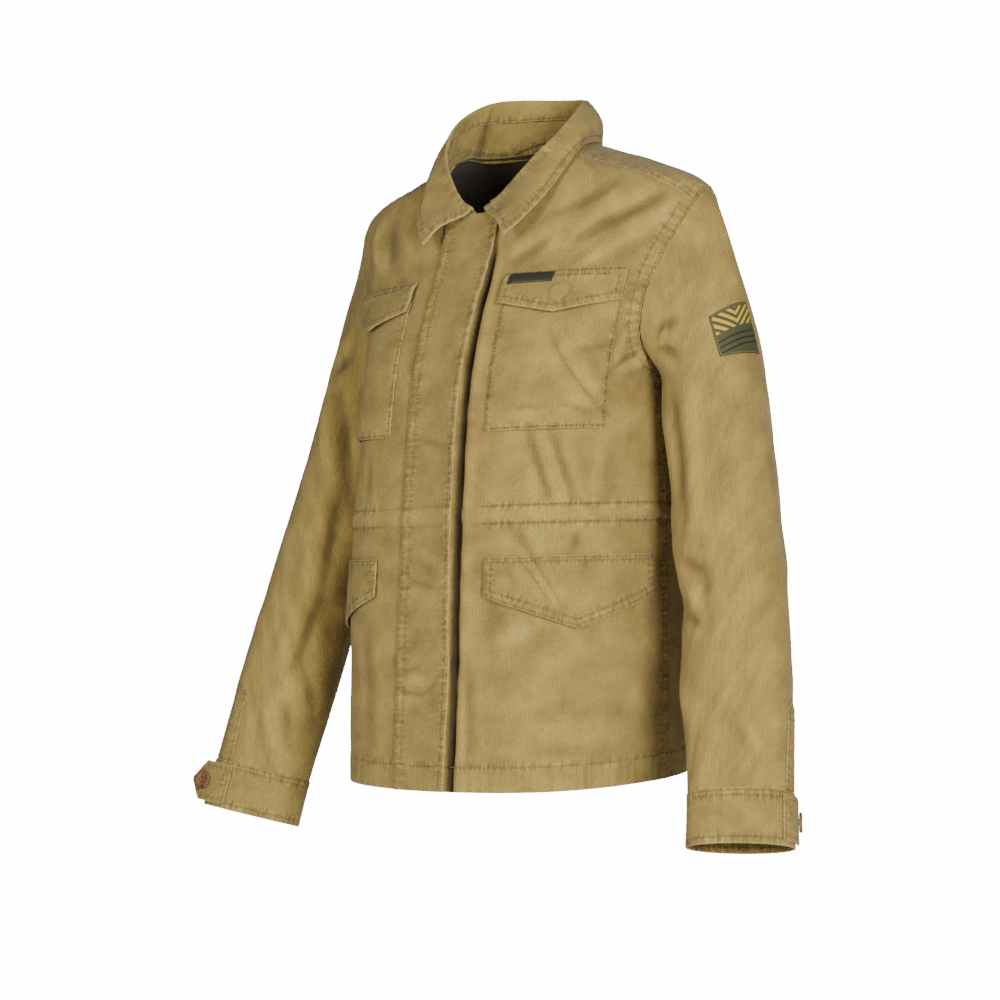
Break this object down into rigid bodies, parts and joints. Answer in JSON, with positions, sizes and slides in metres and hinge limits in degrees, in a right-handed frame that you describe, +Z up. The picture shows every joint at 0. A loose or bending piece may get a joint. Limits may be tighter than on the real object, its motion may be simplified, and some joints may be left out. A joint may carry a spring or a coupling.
{
  "type": "field jacket",
  "caption": "Worn-form cotton field jacket with a stand-and-fall collar, shoulder yoke, covered front, flap pockets, drawcord waist and tabbed cuffs.",
  "frame": {"origin": "the middle of the neck, level with the shoulder ridge at the neck seam, where the wearer holds the garment up", "axes": "+Z up, -Y the way the wearer faces, +X the wearer's left"},
  "size_m": [0.7002, 0.2884, 0.7444],
  "materials": {
    "twill": "garment-washed cotton herringbone twill, matt",
    "label": "close woven label, matt",
    "patch": "woven patch with a stitched border, matt",
    "button": "brown moulded, low gloss"
  },
  "bodies": {
    "root": {"back": "twill", "yoke": "twill", "front_left": "twill", "front_right": "twill", "front_placket": "twill", "chest_pocket_left": "twill", "chest_flap_left": "twill", "lower_flap_left": "twill", "sleeve_left": "twill", "cuff_left": "twill", "sleeve_slit_left": "twill", "cuff_tab_left": "twill", "cuff_button_left": "button", "chest_pocket_right": "twill", "chest_flap_right": "twill", "lower_flap_right": "twill", "sleeve_right": "twill", "cuff_right": "twill", "sleeve_slit_right": "twill", "cuff_tab_right": "twill", "cuff_button_right": "button", "collar_stand": "twill", "collar_fall": "twill", "hanger_loop": "twill", "chest_label": "label", "sleeve_patch": "patch"}
  },
  "joints": []
}
